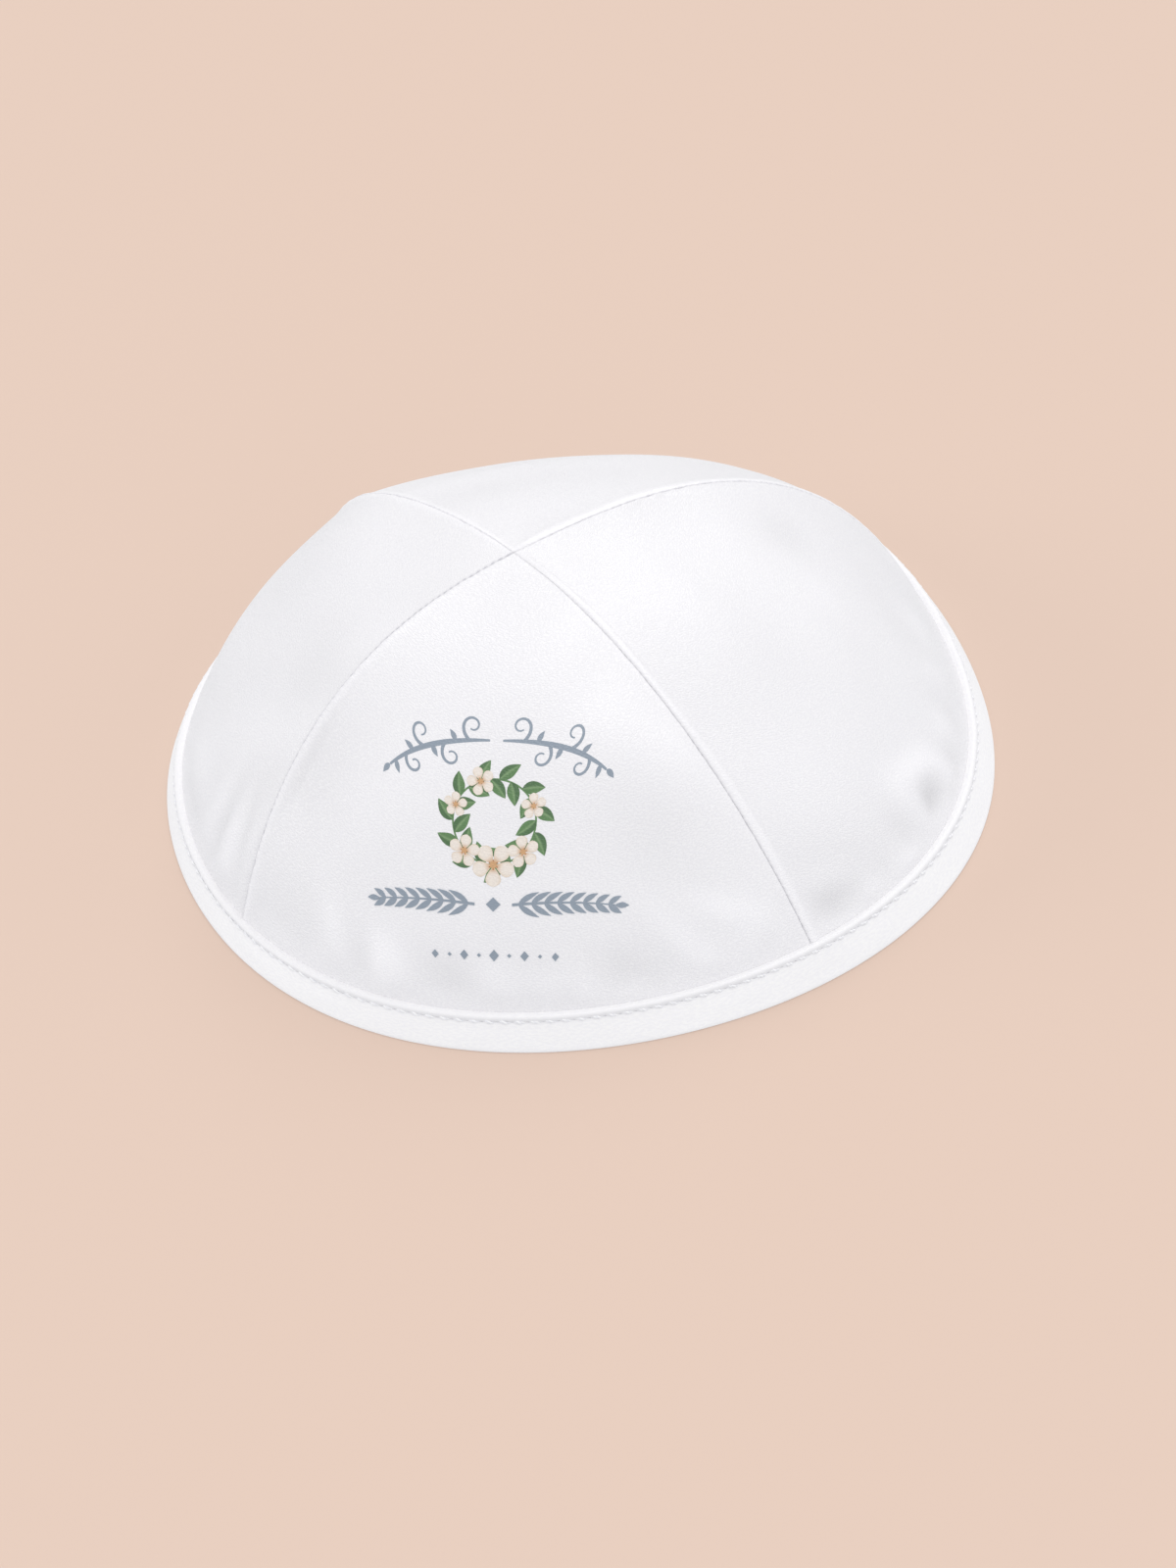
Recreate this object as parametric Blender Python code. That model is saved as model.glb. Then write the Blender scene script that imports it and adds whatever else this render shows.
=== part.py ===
# Kippah skullcap: four satin gores sewn into a dome, with a folded binding round the rim.
# Metres, +Z up. The cap rests on the floor on its rim, the front gore faces -Y,
# and the origin is on the floor at the centre of the bounding box.

from collections import namedtuple
from math import atan2, cos, exp, pi, radians, sin, sqrt

import bmesh
import bpy
from mathutils import Vector

# Driving dimensions
RIM_DIAMETER = 0.165
CROWN_HEIGHT = 0.0556
PANEL_WALL = 0.0012
SEAM_GAP = 0.0003
FIT_GAP = 0.0003
CROSSING_RADIUS = 0.0006
BINDING_HEIGHT = 0.0062
BINDING_INSET = 0.0041
BINDING_WALL = 0.0010
BINDING_FOLD = 0.0012
ROLL_WIDTH = 0.0021
ROLL_PROUD = 0.0002
DITCH_DEPTH = 0.0004
EDGE_ROUND = 0.0007

# The crossing of the seams sits off the centre of the rim, as shares of the rim's radius
CROSSING_SIDE_SHARE = -0.058
CROSSING_FRONT_SHARE = -0.107

# The binding stands a little higher at +X than at -X, as a share of its own height
BINDING_TILT_SHARE = 0.135

# Mesh resolution
PANEL_COLUMN_COUNT = 22
PANEL_ROW_COUNT = 18
TUCK_ROW_COUNT = 2
ROLL_STEP_COUNT = 5
ROUND_STEP_COUNT = 2

# The soft rim leaves a true circle by these waves, as shares of the rim's radius
RimWave = namedtuple("RimWave", "lobes cosine_share sine_share")
RIM_WAVES = (
    RimWave(2, -0.023, -0.011),
    RimWave(3, -0.006, -0.013),
    RimWave(4, 0.006, -0.012),
)

# A line down the crown, from the crossing to the binding: the powers sharpen or slacken its curve
Curve = namedtuple("Curve", "reach_power drop_power sweep_degrees")

# Each seam's place round the rim, and how far its upper end turns from there
Seam = namedtuple("Seam", "azimuth_degrees twist_degrees curve")
SEAMS = {
    "front_left": Seam(228.0, 1.1, Curve(0.88, 1.10, 62)),
    "front_right": Seam(313.6, 0.0, Curve(1.01, 0.95, 55)),
    "back_right": Seam(41.2, 1.8, Curve(0.83, 1.15, 63)),
    "back_left": Seam(141.3, 6.5, Curve(0.99, 0.99, 77)),
}

# Each gore lies between two seams, going round from above against the clock
Panel = namedtuple("Panel", "first_seam last_seam middle")
PANELS = {
    "panel_front": Panel("front_left", "front_right", Curve(1.05, 0.90, 70)),
    "panel_right": Panel("front_right", "back_right", Curve(1.05, 0.90, 70)),
    "panel_back": Panel("back_right", "back_left", Curve(1.06, 0.85, 58)),
    "panel_left": Panel("back_left", "front_left", Curve(1.05, 0.90, 72)),
}

# Dents and puckers of the cloth. Across and down give the place on the gore, from the first
# seam to the last and from the crossing to the binding. The two sizes are shares of the same
# lengths, turn is the slant of the second one, and rise is a share of the crown's height.
Fold = namedtuple("Fold", "panel across down wide_share long_share turn_degrees rise_share")
FOLDS = (
    Fold("panel_right", 0.350, 0.870, 0.026, 0.042, 58, 0.018),
    Fold("panel_right", 0.398, 0.940, 0.024, 0.045, 5, 0.014),
    Fold("panel_right", 0.292, 0.910, 0.022, 0.055, 5, 0.012),
    Fold("panel_right", 0.345, 0.950, 0.024, 0.036, 0, -0.024),
    Fold("panel_right", 0.490, 0.915, 0.026, 0.035, 20, 0.010),
    Fold("panel_right", 0.090, 0.950, 0.050, 0.050, 0, -0.010),
    Fold("panel_left", 0.825, 0.880, 0.018, 0.080, 0, 0.009),
    Fold("panel_left", 0.864, 0.900, 0.016, 0.070, 0, -0.009),
    Fold("panel_left", 0.905, 0.900, 0.016, 0.070, 4, 0.009),
    Fold("panel_left", 0.945, 0.880, 0.014, 0.070, 8, -0.008),
    Fold("panel_left", 0.720, 0.950, 0.026, 0.050, 75, -0.008),
    Fold("panel_front", 0.215, 0.910, 0.022, 0.045, 20, 0.009),
    Fold("panel_front", 0.268, 0.940, 0.018, 0.040, 14, -0.008),
    Fold("panel_front", 0.325, 0.925, 0.022, 0.045, 20, 0.012),
    Fold("panel_front", 0.420, 0.940, 0.030, 0.040, 30, -0.009),
    Fold("panel_front", 0.500, 0.940, 0.022, 0.040, 24, 0.008),
    Fold("panel_front", 0.710, 0.940, 0.025, 0.040, 30, -0.008),
    Fold("panel_front", 0.810, 0.915, 0.020, 0.075, 26, 0.010),
    Fold("panel_front", 0.890, 0.880, 0.022, 0.055, 50, 0.010),
)
FOLD_FADE_SHARE = 0.05


def rim_radius(azimuth):
    """Radius of the rim's outer edge on the floor."""
    share = 1.0
    for wave in RIM_WAVES:
        share += wave.cosine_share * cos(wave.lobes * azimuth)
        share += wave.sine_share * sin(wave.lobes * azimuth)
    return RIM_DIAMETER / 2 * share


def rim_centre():
    """Middle of the rim's bounding box, which the whole cap is moved back by."""
    turns = [2 * pi * step / 360 for step in range(360)]
    xs = [rim_radius(turn) * cos(turn) for turn in turns]
    ys = [rim_radius(turn) * sin(turn) for turn in turns]
    return Vector(((min(xs) + max(xs)) / 2, (min(ys) + max(ys)) / 2, 0.0))


def joint_line(azimuth):
    """Radius and height at which the gores go down into the binding."""
    lift = BINDING_HEIGHT * BINDING_TILT_SHARE * cos(azimuth)
    return rim_radius(azimuth) - BINDING_INSET - lift / 2, BINDING_HEIGHT + lift


def slot_slope(azimuth):
    """Angle below the horizontal at which the cloth runs down inside the binding."""
    radius, height = joint_line(azimuth)
    foot_radius = rim_radius(azimuth) - BINDING_WALL - FIT_GAP
    return atan2(height, foot_radius - radius)


def slot_length(azimuth):
    """Length of the slot, from its mouth to the fold under the edge of the gores."""
    radius, height = joint_line(azimuth)
    return (height - BINDING_FOLD) / sin(slot_slope(azimuth))


def slot_point(azimuth, along, out):
    """Radius and height of a point a distance down the slot's line and out from it."""
    radius, height = joint_line(azimuth)
    slope = slot_slope(azimuth)
    return (
        radius + along * cos(slope) + out * sin(slope),
        height - along * sin(slope) + out * cos(slope),
    )


def on_azimuth(azimuth, radius, height):
    return Vector((radius * cos(azimuth), radius * sin(azimuth), height))


def run(curve, down):
    """Shares of the way out and of the way down that a line of the crown has gone."""
    sweep = radians(curve.sweep_degrees)
    reach = (sin(down * sweep) / sin(sweep)) ** curve.reach_power
    drop = ((1 - cos(down * sweep)) / (1 - cos(sweep))) ** curve.drop_power
    return reach, drop


def blend(first, last, share):
    return first + (last - first) * share


def ease(share):
    share = min(max(share, 0.0), 1.0)
    return share * share * (3 - 2 * share)


def panel_azimuth(panel, across):
    start = SEAMS[panel.first_seam].azimuth_degrees
    turn = (SEAMS[panel.last_seam].azimuth_degrees - start) % 360
    return radians(start + turn * across)


def panel_twist(panel, across, down):
    first = SEAMS[panel.first_seam].twist_degrees
    last = SEAMS[panel.last_seam].twist_degrees
    return radians(blend(first, last, across) * (1 - down))


def crown_shares(panel, across, down):
    """Reach and drop, blended from the two seams to the middle of the gore."""
    first = run(SEAMS[panel.first_seam].curve, down)
    last = run(SEAMS[panel.last_seam].curve, down)
    middle = run(panel.middle, down)
    seam_weight = (2 * across - 1) ** 2
    return [
        blend(middle[axis], blend(first[axis], last[axis], across), seam_weight)
        for axis in (0, 1)
    ]


def fold_rise(name, across, down):
    """Height of the dents and puckers, which die out at the seams and at the binding."""
    rise = 0.0
    for fold in FOLDS:
        if fold.panel != name:
            continue
        turn = radians(fold.turn_degrees)
        side = across - fold.across
        below = down - fold.down
        wide = (side * cos(turn) - below * sin(turn)) / fold.wide_share
        long = (side * sin(turn) + below * cos(turn)) / fold.long_share
        rise += fold.rise_share * exp(-(wide * wide + long * long) / 2)
    edge = min(across, 1 - across, 1 - down)
    return CROWN_HEIGHT * rise * ease(edge / FOLD_FADE_SHARE)


def crown_point(name, across, down, depth):
    """A point of a gore, at a depth below its outer face."""
    panel = PANELS[name]
    azimuth = panel_azimuth(panel, across)
    reach, drop = crown_shares(panel, across, down)
    joint_radius, joint_height = joint_line(azimuth)
    heading = azimuth + panel_twist(panel, across, down)
    crossing = RIM_DIAMETER / 2 * Vector((CROSSING_SIDE_SHARE, CROSSING_FRONT_SHARE, 0.0))
    point = crossing * (1 - reach) + on_azimuth(heading, joint_radius * reach, 0.0)
    point.z = blend(CROWN_HEIGHT, joint_height, drop)
    lean = slot_slope(azimuth) * down
    outward = on_azimuth(heading, sin(lean), cos(lean))
    return point + outward * (fold_rise(name, across, down) - depth)


def tuck_point(name, across, share, depth):
    """A point of a gore's lower edge, where it runs down inside the binding."""
    azimuth = panel_azimuth(PANELS[name], across)
    along = (slot_length(azimuth) - FIT_GAP) * share
    return on_azimuth(azimuth, *slot_point(azimuth, along, -depth))


def panel_width(name, down):
    """Straight distance between a gore's two seams."""
    return (crown_point(name, 1.0, down, 0.0) - crown_point(name, 0.0, down, 0.0)).length


def crossing_share():
    """How far down the gores their blunt tips lie, clear of the crossing."""
    return CROSSING_RADIUS / sqrt(CROWN_HEIGHT ** 2 + (RIM_DIAMETER / 2) ** 2)


def satin(name, colour, roughness):
    material = bpy.data.materials.new(name)
    material.use_nodes = True
    shader = material.node_tree.nodes["Principled BSDF"]
    shader.inputs["Base Color"].default_value = (*colour, 1.0)
    shader.inputs["Roughness"].default_value = roughness
    shader.inputs["Metallic"].default_value = 0.0
    return material


def add_object(name, mesh_builder, material, cap):
    mesh_builder.normal_update()
    bmesh.ops.recalc_face_normals(mesh_builder, faces=mesh_builder.faces[:])
    mesh = bpy.data.meshes.new(name)
    mesh_builder.to_mesh(mesh)
    mesh_builder.free()
    mesh.shade_smooth()
    mesh.set_sharp_from_angle(angle=radians(40))
    mesh.materials.append(material)
    piece = bpy.data.objects.new(name, mesh)
    bpy.context.scene.collection.objects.link(piece)
    piece.parent = cap
    return piece


def make_panel(name, material, cap):
    """One gore: a curved sheet, thickened inwards, with its lower edge tucked straight."""
    rows = PANEL_ROW_COUNT + TUCK_ROW_COUNT
    mesh = bmesh.new()
    bmesh.ops.create_grid(mesh, x_segments=PANEL_COLUMN_COUNT, y_segments=rows, size=0.5)
    thickened = bmesh.ops.extrude_face_region(mesh, geom=mesh.faces[:], use_keep_orig=True)
    inner = {item for item in thickened["geom"] if isinstance(item, bmesh.types.BMVert)}
    for vertex in mesh.verts:
        depth = PANEL_WALL if vertex in inner else 0.0
        row = (vertex.co.y + 0.5) * rows
        start = crossing_share()
        down = min(blend(start, 1.0, row / PANEL_ROW_COUNT), 1.0)
        seam_share = SEAM_GAP / 2 / panel_width(name, down)
        across = blend(seam_share, 1 - seam_share, vertex.co.x + 0.5)
        if row > PANEL_ROW_COUNT:
            vertex.co = tuck_point(name, across, (row - PANEL_ROW_COUNT) / TUCK_ROW_COUNT, depth)
        else:
            vertex.co = crown_point(name, across, down, depth)
    return add_object(name, mesh, material, cap)


def rounded(before, corner, after):
    """Points of a corner eased from one point to the next."""
    points = []
    for step in range(ROUND_STEP_COUNT + 1):
        share = step / ROUND_STEP_COUNT
        points.append(tuple(
            blend(blend(before[axis], corner[axis], share), blend(corner[axis], after[axis], share), share)
            for axis in (0, 1)
        ))
    return points


def binding_section(azimuth):
    """Outline of the folded strip at one azimuth, as radius and height, from the slot's mouth."""
    slope = slot_slope(azimuth)
    length = slot_length(azimuth)
    inner_face = -PANEL_WALL - FIT_GAP
    outer = FIT_GAP + BINDING_WALL
    crest = BINDING_WALL + ROLL_PROUD
    points = []

    # The roll along the top, down to the stitched ditch
    for step in range(ROLL_STEP_COUNT):
        turn = pi - step * pi / (ROLL_STEP_COUNT + 1)
        along = ROLL_WIDTH / 2 * (1 + cos(turn))
        points.append(slot_point(azimuth, along, FIT_GAP + crest * sin(turn)))
    points.append(slot_point(azimuth, ROLL_WIDTH, outer - DITCH_DEPTH))
    points.append(slot_point(azimuth, ROLL_WIDTH + DITCH_DEPTH, outer))

    # The flat band, the fold that rests on the floor, and the leg up the inside
    height = joint_line(azimuth)[1]
    outer_corner = slot_point(azimuth, (height + outer * cos(slope)) / sin(slope), outer)
    inner_out = inner_face - BINDING_WALL
    inner_corner = slot_point(azimuth, (height + inner_out * cos(slope)) / sin(slope), inner_out)
    lean = (EDGE_ROUND * cos(slope), EDGE_ROUND * sin(slope))
    points += rounded(
        (outer_corner[0] - lean[0], lean[1]),
        outer_corner,
        (outer_corner[0] - EDGE_ROUND, 0.0),
    )
    points += rounded(
        (inner_corner[0] + EDGE_ROUND, 0.0),
        inner_corner,
        (inner_corner[0] - lean[0], lean[1]),
    )
    points.append(slot_point(azimuth, FIT_GAP + BINDING_WALL / 2, inner_out))
    points.append(slot_point(azimuth, FIT_GAP, inner_out + BINDING_WALL / 2))
    points.append(slot_point(azimuth, FIT_GAP + BINDING_WALL / 2, inner_face))

    # The slot's floor
    points.append(slot_point(azimuth, length, inner_face))
    points.append(slot_point(azimuth, length, FIT_GAP))
    return points


def make_binding(material, cap):
    """The binding: its section carried round the rim, through the same azimuths as the gores."""
    mesh = bmesh.new()
    rings = []
    for panel in PANELS.values():
        for column in range(PANEL_COLUMN_COUNT):
            azimuth = panel_azimuth(panel, column / PANEL_COLUMN_COUNT)
            section = binding_section(azimuth)
            rings.append([mesh.verts.new(on_azimuth(azimuth, *point)) for point in section])
    for index, ring in enumerate(rings):
        following = rings[(index + 1) % len(rings)]
        for corner in range(len(ring)):
            after = (corner + 1) % len(ring)
            mesh.faces.new((ring[corner], ring[after], following[after], following[corner]))
    return add_object("rim_binding", mesh, material, cap)


def main():
    for item in list(bpy.data.objects):
        bpy.data.objects.remove(item, do_unlink=True)

    cap = bpy.data.objects.new("kippah", None)
    cap.location = -rim_centre()
    bpy.context.scene.collection.objects.link(cap)

    white_satin = satin("white_satin", (0.89, 0.89, 0.92), 0.38)
    binding_satin = satin("binding_satin", (0.90, 0.90, 0.93), 0.45)
    for name in PANELS:
        make_panel(name, white_satin, cap)
    make_binding(binding_satin, cap)


main()
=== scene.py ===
# White satin kippah standing on its rim: four gores, rolled seams, a stitched bias binding
# and a small printed ornament on the front gore.
from math import asin, atan2, cos, exp, pi, radians, sin, sqrt

import bmesh
import bpy
from mathutils import Matrix, Vector, noise


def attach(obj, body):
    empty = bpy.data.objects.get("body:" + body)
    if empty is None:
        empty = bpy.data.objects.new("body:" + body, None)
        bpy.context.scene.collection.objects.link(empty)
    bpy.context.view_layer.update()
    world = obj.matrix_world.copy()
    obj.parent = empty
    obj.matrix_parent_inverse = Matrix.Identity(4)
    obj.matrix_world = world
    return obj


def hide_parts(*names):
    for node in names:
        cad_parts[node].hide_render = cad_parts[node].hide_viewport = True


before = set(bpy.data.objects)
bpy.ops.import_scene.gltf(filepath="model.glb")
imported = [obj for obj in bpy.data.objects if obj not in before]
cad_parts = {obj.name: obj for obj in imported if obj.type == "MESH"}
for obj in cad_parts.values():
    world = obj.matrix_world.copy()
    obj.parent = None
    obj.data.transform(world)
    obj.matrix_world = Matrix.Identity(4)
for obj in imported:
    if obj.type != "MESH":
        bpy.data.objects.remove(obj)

print("frame loaded:", ", ".join(sorted(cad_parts)))
mm = 0.001
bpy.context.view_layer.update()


# Sizes of the cap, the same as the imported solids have
cap = {
    "rimDiameter": 165 * mm,
    "crownHeight": 55.6 * mm,
    "panelWall": 1.2 * mm,
    "fitGap": 0.3 * mm,
    "bindingHeight": 6.2 * mm,
    "bindingInset": 4.1 * mm,
    "bindingWall": 1.0 * mm,
    "bindingFold": 1.2 * mm,
    "bindingTilt": 0.135,  # share of its height that the binding gains towards +X
    "crossing": Vector((-0.058, -0.107, 0.0)),  # where the seams cross, in rim radii
    "rimWaves": ((2, -0.023, -0.011), (3, -0.006, -0.013), (4, 0.006, -0.012)),
    "foldFade": 0.05,
}

# Lines down the crown: power of the reach, power of the drop, sweep in degrees
seams = {
    "frontLeft": {"azimuth": 228.0, "twist": 1.1, "curve": (0.88, 1.10, 62)},
    "frontRight": {"azimuth": 313.6, "twist": 0.0, "curve": (1.01, 0.95, 55)},
    "backRight": {"azimuth": 41.2, "twist": 1.8, "curve": (0.83, 1.15, 63)},
    "backLeft": {"azimuth": 141.3, "twist": 6.5, "curve": (0.99, 0.99, 77)},
}
panels = {
    "panel_front": {"seams": ("frontLeft", "frontRight"), "curve": (1.05, 0.90, 70)},
    "panel_right": {"seams": ("frontRight", "backRight"), "curve": (1.05, 0.90, 70)},
    "panel_back": {"seams": ("backRight", "backLeft"), "curve": (1.06, 0.85, 58)},
    "panel_left": {"seams": ("backLeft", "frontLeft"), "curve": (1.05, 0.90, 72)},
}

# Dents and puckers: gore, across, down, wide, long, turn in degrees, rise over crown height
folds = (
    ("panel_right", 0.350, 0.870, 0.026, 0.042, 58, 0.018),
    ("panel_right", 0.398, 0.940, 0.024, 0.045, 5, 0.014),
    ("panel_right", 0.292, 0.910, 0.022, 0.055, 5, 0.012),
    ("panel_right", 0.345, 0.950, 0.024, 0.036, 0, -0.024),
    ("panel_right", 0.490, 0.915, 0.026, 0.035, 20, 0.010),
    ("panel_right", 0.090, 0.950, 0.050, 0.050, 0, -0.010),
    ("panel_left", 0.825, 0.880, 0.018, 0.080, 0, 0.009),
    ("panel_left", 0.864, 0.900, 0.016, 0.070, 0, -0.009),
    ("panel_left", 0.905, 0.900, 0.016, 0.070, 4, 0.009),
    ("panel_left", 0.945, 0.880, 0.014, 0.070, 8, -0.008),
    ("panel_left", 0.720, 0.950, 0.026, 0.050, 75, -0.008),
    ("panel_front", 0.215, 0.910, 0.022, 0.045, 20, 0.009),
    ("panel_front", 0.268, 0.940, 0.018, 0.040, 14, -0.008),
    ("panel_front", 0.325, 0.925, 0.022, 0.045, 20, 0.012),
    ("panel_front", 0.420, 0.940, 0.030, 0.040, 30, -0.009),
    ("panel_front", 0.500, 0.940, 0.022, 0.040, 24, 0.008),
    ("panel_front", 0.710, 0.940, 0.025, 0.040, 30, -0.008),
    ("panel_front", 0.810, 0.915, 0.020, 0.075, 26, 0.010),
    ("panel_front", 0.890, 0.880, 0.022, 0.055, 50, 0.010),
)


def blend(first, last, share):
    return first + (last - first) * share


def ease(share):
    share = min(max(share, 0.0), 1.0)
    return share * share * (3 - 2 * share)


def rimRadius(azimuth):
    share = 1.0
    for lobes, cosineShare, sineShare in cap["rimWaves"]:
        share += cosineShare * cos(lobes * azimuth) + sineShare * sin(lobes * azimuth)
    return cap["rimDiameter"] / 2 * share


def onAzimuth(azimuth, radius, height):
    return Vector((radius * cos(azimuth), radius * sin(azimuth), height))


def rimMiddle():
    turns = [radians(turn) for turn in range(360)]
    spots = [onAzimuth(turn, rimRadius(turn), 0) for turn in turns]
    xs = [spot.x for spot in spots]
    ys = [spot.y for spot in spots]
    return Vector(((min(xs) + max(xs)) / 2, (min(ys) + max(ys)) / 2, 0))


rimCentre = rimMiddle()  # the frame's origin lies at the middle of the rim's box


def bindingLine(azimuth):
    # where the gores go down into the binding, and the slope at which they do
    lift = cap["bindingHeight"] * cap["bindingTilt"] * cos(azimuth)
    radius = rimRadius(azimuth) - cap["bindingInset"] - lift / 2
    height = cap["bindingHeight"] + lift
    foot = rimRadius(azimuth) - cap["bindingWall"] - cap["fitGap"]
    return radius, height, atan2(height, foot - radius)


def bindingPoint(azimuth, along, out):
    # along runs down the binding from its upper edge, out stands off the gores
    radius, height, slope = bindingLine(azimuth)
    radius += along * cos(slope) + out * sin(slope)
    height += out * cos(slope) - along * sin(slope)
    return onAzimuth(azimuth, radius, height) - rimCentre


def run(curve, down):
    reachPower, dropPower, sweep = curve
    sweep = radians(sweep)
    reach = (sin(down * sweep) / sin(sweep)) ** reachPower
    drop = ((1 - cos(down * sweep)) / (1 - cos(sweep))) ** dropPower
    return reach, drop


def panelAzimuth(name, across):
    start, end = (seams[seam]["azimuth"] for seam in panels[name]["seams"])
    return radians(start + (end - start) % 360 * across)


def foldRise(name, across, down):
    rise = 0.0
    for panel, foldAcross, foldDown, wide, long, turn, share in folds:
        if panel != name:
            continue
        turn = radians(turn)
        side = across - foldAcross
        below = down - foldDown
        sideways = (side * cos(turn) - below * sin(turn)) / wide
        lengthways = (side * sin(turn) + below * cos(turn)) / long
        rise += share * exp(-(sideways ** 2 + lengthways ** 2) / 2)
    edge = min(across, 1 - across, 1 - down)
    return cap["crownHeight"] * rise * ease(edge / cap["foldFade"])


def crownPoint(name, across, down, lift=0.0, folded=True):
    # a point of a gore's outer face, raised by lift
    azimuth = panelAzimuth(name, across)
    first, last = (seams[seam] for seam in panels[name]["seams"])
    firstRun = run(first["curve"], down)
    lastRun = run(last["curve"], down)
    middleRun = run(panels[name]["curve"], down)
    seamWeight = (2 * across - 1) ** 2
    reach, drop = (
        blend(middleRun[axis], blend(firstRun[axis], lastRun[axis], across), seamWeight)
        for axis in (0, 1)
    )
    radius, height, slope = bindingLine(azimuth)
    heading = azimuth + radians(blend(first["twist"], last["twist"], across) * (1 - down))
    point = cap["rimDiameter"] / 2 * cap["crossing"] * (1 - reach)
    point += onAzimuth(heading, radius * reach, blend(cap["crownHeight"], height, drop))
    outward = onAzimuth(heading, sin(slope * down), cos(slope * down))
    if folded:
        lift += foldRise(name, across, down)
    return point + outward * lift - rimCentre


def panelWidth(name, down):
    # width of the flat gore, along the cloth
    spots = [crownPoint(name, step / 6, down, folded=False) for step in range(7)]
    return sum((after - before).length for before, after in zip(spots, spots[1:]))


def panelLength(name):
    spots = [crownPoint(name, 0.5, step / 30, folded=False) for step in range(31)]
    return sum((after - before).length for before, after in zip(spots, spots[1:]))


goreLength = {name: panelLength(name) for name in panels}
widthRows = 60
goreWidths = {name: [panelWidth(name, row / widthRows) for row in range(widthRows + 1)]
              for name in panels}


def goreWidth(name, down):
    row = min(down, 1.0) * widthRows
    before = min(int(row), widthRows - 1)
    return blend(goreWidths[name][before], goreWidths[name][before + 1], row - before)


# Materials

def linearColour(code):
    # sRGB hex to the linear values that shaders take
    parts = [int(code[place:place + 2], 16) / 255 for place in (1, 3, 5)]
    return tuple(
        part / 12.92 if part <= 0.04045 else ((part + 0.055) / 1.055) ** 2.4
        for part in parts
    ) + (1.0,)


def addNode(material, kind, settings=None, links=None):
    node = material.node_tree.nodes.new("ShaderNode" + kind)
    for name, value in (settings or {}).items():
        if isinstance(value, str) and value.startswith("#"):
            value = linearColour(value)
        if isinstance(name, int) or name in node.inputs:
            node.inputs[name].default_value = value
        else:
            setattr(node, name, value)
    for name, socket in (links or {}).items():
        material.node_tree.links.new(socket, node.inputs[name])
    return node


colourMix = {"factor": 0, "first": 6, "second": 7, "result": 2}  # sockets of a colour mix
waveUnit = 0.314  # a wave texture's bands repeat after this many metres at scale 1


def clothMaterial(name, look):
    # woven satin: short raised floats, as noise drawn out along one direction of the cut
    material = bpy.data.materials.new(name)
    material.use_nodes = True
    material.node_tree.nodes.clear()
    place = addNode(material, "UVMap", {"uv_map": "cut"})
    turned = addNode(material, "Mapping", {
        "Rotation": (0, 0, radians(look["floatTurn"])),
        "Scale": (1 / look["floatLength"], 1 / look["floatWidth"], 1.0),
    }, {"Vector": place.outputs["UV"]})
    grain = addNode(material, "TexNoise", {
        "Scale": 1.0, "Detail": 0.6, "Roughness": 0.5, "Distortion": 0.4,
    }, {"Vector": turned.outputs["Vector"]})
    floats = addNode(material, "MapRange", {
        "interpolation_type": "SMOOTHSTEP", "From Min": 0.36, "From Max": 0.64,
    }, {"Value": grain.outputs["Fac"]})
    clouds = addNode(material, "TexNoise", {
        "Scale": 1 / look["cloudSize"], "Detail": 2.0, "Roughness": 0.5,
    }, {"Vector": place.outputs["UV"]})
    tone = addNode(material, "Mix", {"data_type": "FLOAT", "Factor": look["clouding"]}, {
        2: floats.outputs["Result"], 3: clouds.outputs["Fac"],
    })
    colour = addNode(material, "Mix", {
        "data_type": "RGBA", colourMix["first"]: look["shade"], colourMix["second"]: look["colour"],
    }, {colourMix["factor"]: tone.outputs[0]})
    bump = addNode(material, "Bump", {
        "Strength": look["bump"], "Distance": look["floatRise"],
    }, {"Height": floats.outputs["Result"]})
    shader = addNode(material, "BsdfPrincipled", {
        "Roughness": look["roughness"], "IOR": 1.5, "Specular IOR Level": look["gloss"],
        "Sheen Weight": look["sheen"], "Sheen Roughness": 0.3,
    }, {"Base Color": colour.outputs[colourMix["result"]], "Normal": bump.outputs["Normal"]})
    addNode(material, "OutputMaterial", links={"Surface": shader.outputs["BSDF"]})
    return material, shader, colour


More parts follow.
